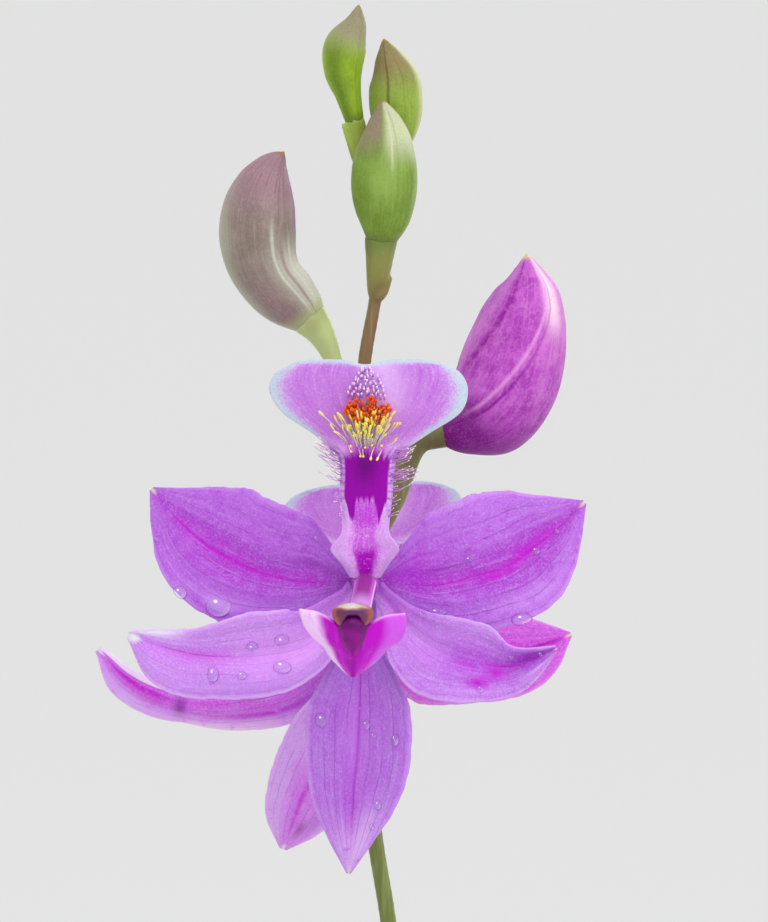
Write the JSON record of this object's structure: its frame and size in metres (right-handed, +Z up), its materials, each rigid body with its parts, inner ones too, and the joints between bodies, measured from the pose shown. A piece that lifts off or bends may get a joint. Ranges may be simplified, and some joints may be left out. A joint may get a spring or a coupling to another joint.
{
  "type": "potted grass pink orchid",
  "caption": "Grass pink orchid in a plain clay pot: a slender leafy-based scape with bearded-lip magenta flowers facing front and back, and closed buds above them.",
  "frame": {"origin": "centre of the pot's underside, on the surface that it stands on", "axes": "+Z up the pot's axis and the scape; the front flower faces -Y and the back flower +Y"},
  "size_m": [0.104, 0.104, 0.2999],
  "materials": {
    "clay": "unglazed red clay, matt",
    "peat": "moist peat and sand, crumbly",
    "stem": "olive green, smooth",
    "leaf": "mid green, ribbed along its length",
    "sheath": "dry, papery, light brown",
    "tepal": "magenta pink with darker veins, soft sheen",
    "lip": "lilac pink with a pale margin and a magenta claw",
    "beard_orange": "orange red, waxy",
    "beard_yellow": "yellow, waxy",
    "column": "deep magenta with pale wings",
    "anther_cap": "brown, glossy",
    "bud_green": "yellow green with a dull mauve tip",
    "bud_rose": "rose purple with darker seams",
    "bud_blush": "greenish white flushed with mauve"
  },
  "bodies": {
    "root": {"pot": "clay", "potting_mix": "peat", "scape": "stem", "basal_sheath": "sheath", "leaf_long": "leaf", "leaf_short": "leaf", "front_dorsal_sepal": "tepal", "front_left_sepal": "tepal", "front_right_sepal": "tepal", "front_left_petal": "tepal", "front_right_petal": "tepal", "front_lip": "lip", "front_beard_orange": "beard_orange", "front_beard_yellow": "beard_yellow", "front_column": "column", "front_anther_cap": "anther_cap", "back_dorsal_sepal": "tepal", "back_left_sepal": "tepal", "back_right_sepal": "tepal", "back_left_petal": "tepal", "back_right_petal": "tepal", "back_lip": "lip", "back_beard_orange": "beard_orange", "back_beard_yellow": "beard_yellow", "back_column": "column", "back_anther_cap": "anther_cap", "bud_rose": "bud_rose", "bud_blush": "bud_blush", "bud_green_front": "bud_green", "bud_green_left": "bud_green", "bud_green_right": "bud_green"}
  },
  "joints": []
}
